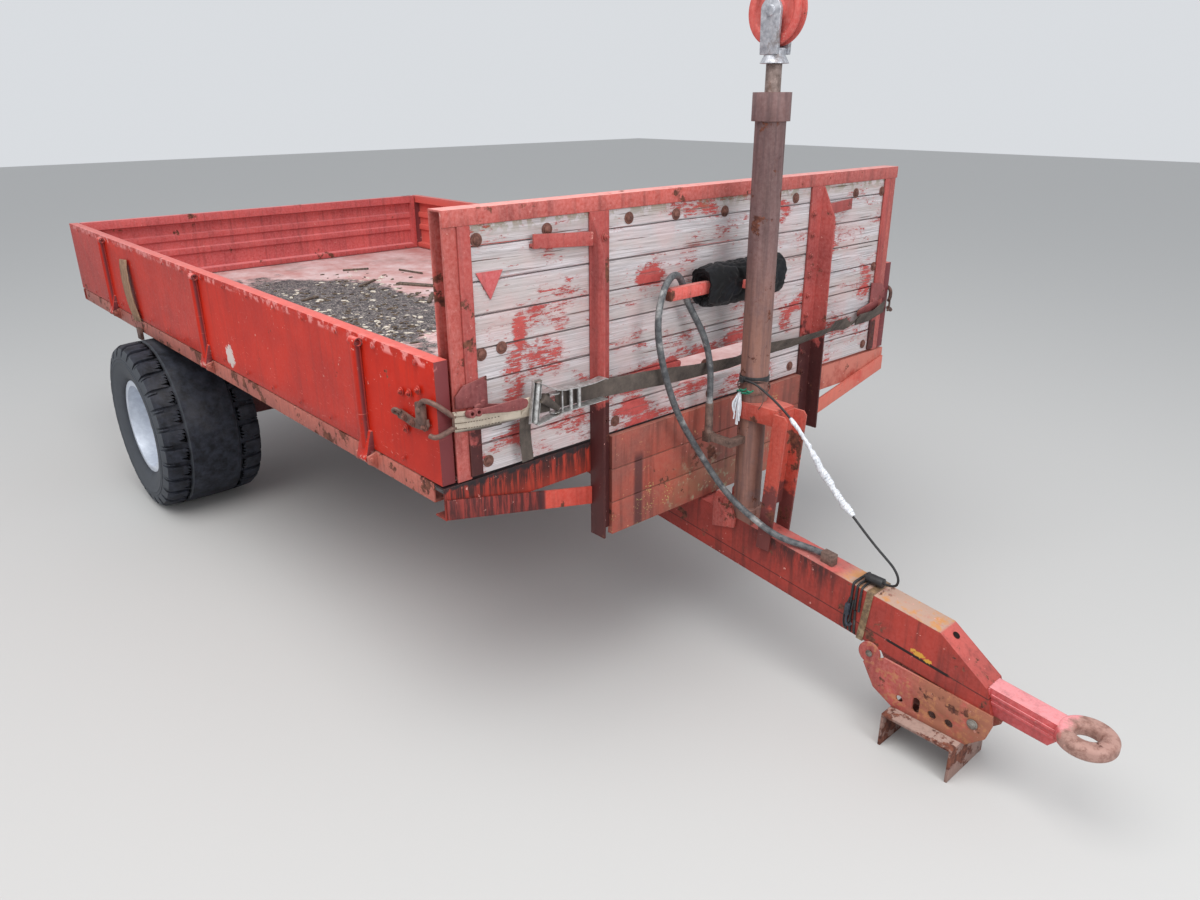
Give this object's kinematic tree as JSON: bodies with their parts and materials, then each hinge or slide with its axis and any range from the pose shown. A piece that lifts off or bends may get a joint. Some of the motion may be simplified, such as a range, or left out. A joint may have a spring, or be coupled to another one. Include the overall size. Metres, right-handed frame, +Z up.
{
  "type": "farm trailer",
  "caption": "Single-axle farm tipping trailer with drop sides, tall headboard, upright rope ram, box drawbar on a parking foot and a ring towing eye.",
  "frame": {"origin": "on the ground at the middle of the trailer's length and width", "axes": "+X forward along the drawbar, +Y to the trailer's left, +Z up"},
  "size_m": [5.3525, 2.548, 2.271],
  "materials": {
    "red_paint": "weathered semi-matt",
    "dark_red_paint": "weathered matt",
    "pink_red_paint": "sun-bleached matt",
    "rusted_plate": "rusted matt",
    "mast_brown_paint": "weathered matt",
    "weathered_boards": "weathered paint",
    "faded_red_boards": "weathered paint",
    "galvanised_casting": "galvanised",
    "bare_steel": "dull",
    "silver_rim": "satin silver",
    "tyre_rubber": "worn",
    "hose_rubber": "matt",
    "cable_black": "satin",
    "reflector_red": "ribbed",
    "black_cover": "matt",
    "grey_webbing": "matt"
  },
  "bodies": {
    "chassis": {"chassis_rails": "red_paint", "chassis_crossmembers": "red_paint", "drawbar": "red_paint", "tow_eye": "dark_red_paint", "drawbar_side_plates": "rusted_plate", "parking_foot": "rusted_plate", "axle": "dark_red_paint", "tip_shaft": "bare_steel", "mast_barrel": "mast_brown_paint", "mast_prop": "red_paint", "hose_rest": "dark_red_paint", "rolled_cover": "black_cover", "hydraulic_hose": "hose_rubber", "light_cable": "cable_black", "cable_ends": "cable_black", "hose_fittings": "bare_steel", "drawbar_tie": "hose_rubber"},
    "wheel_right": {"tyre_right": "tyre_rubber", "rim_right": "silver_rim", "hub_right": "dark_red_paint"},
    "wheel_left": {"tyre_left": "tyre_rubber", "rim_left": "silver_rim", "hub_left": "dark_red_paint"},
    "bed": {"bed_bearers": "red_paint", "bed_side_rails": "red_paint", "bed_end_beams": "red_paint", "bed_crossmembers": "red_paint", "bed_floor": "dark_red_paint", "headboard_frame": "pink_red_paint", "headboard_planks": "weathered_boards", "headboard_uprights": "red_paint", "lower_panel_boards": "faded_red_boards", "front_braces": "dark_red_paint", "front_reflector": "reflector_red", "corner_latches": "dark_red_paint", "side_hinges": "dark_red_paint", "tailgate_hinges": "dark_red_paint", "lashing_strap": "grey_webbing", "strap_ratchet": "bare_steel"},
    "board_right": {"side_board_right": "red_paint"},
    "board_left": {"side_board_left": "red_paint"},
    "tailgate": {"tailgate": "red_paint"},
    "ram": {"ram_rod": "bare_steel", "sheave_head": "galvanised_casting"},
    "sheave": {"sheave": "pink_red_paint"}
  },
  "joints": [
    {"name": "wheel_right_spin", "type": "hinge", "parent": "chassis", "child": "wheel_right", "pos_m": [-1.45825, -1.035, 0.42], "axis": [0, 1, 0], "continuous": true},
    {"name": "wheel_left_spin", "type": "hinge", "parent": "chassis", "child": "wheel_left", "pos_m": [-1.45825, 1.035, 0.42], "axis": [0, 1, 0], "continuous": true},
    {"name": "bed_tip", "type": "hinge", "parent": "chassis", "child": "bed", "pos_m": [-2.06525, 0, 0.69], "axis": [0, -1, 0], "range_deg": [0, 50]},
    {"name": "board_right_drop", "type": "hinge", "parent": "bed", "child": "board_right", "pos_m": [-0.73025, -1.143, 0.9], "axis": [1, 0, 0], "range_deg": [0, 125]},
    {"name": "board_left_drop", "type": "hinge", "parent": "bed", "child": "board_left", "pos_m": [-0.73025, 1.143, 0.9], "axis": [-1, 0, 0], "range_deg": [0, 125]},
    {"name": "tailgate_drop", "type": "hinge", "parent": "bed", "child": "tailgate", "pos_m": [-2.66325, 0, 0.9], "axis": [0, -1, 0], "range_deg": [0, 160]},
    {"name": "ram_slide", "type": "slide", "parent": "chassis", "child": "ram", "axis": [0, 0, 1], "range_m": [0, 1.2]},
    {"name": "sheave_spin", "type": "hinge", "parent": "ram", "child": "sheave", "pos_m": [1.37175, 0, 2.176], "axis": [0, 1, 0], "continuous": true}
  ]
}
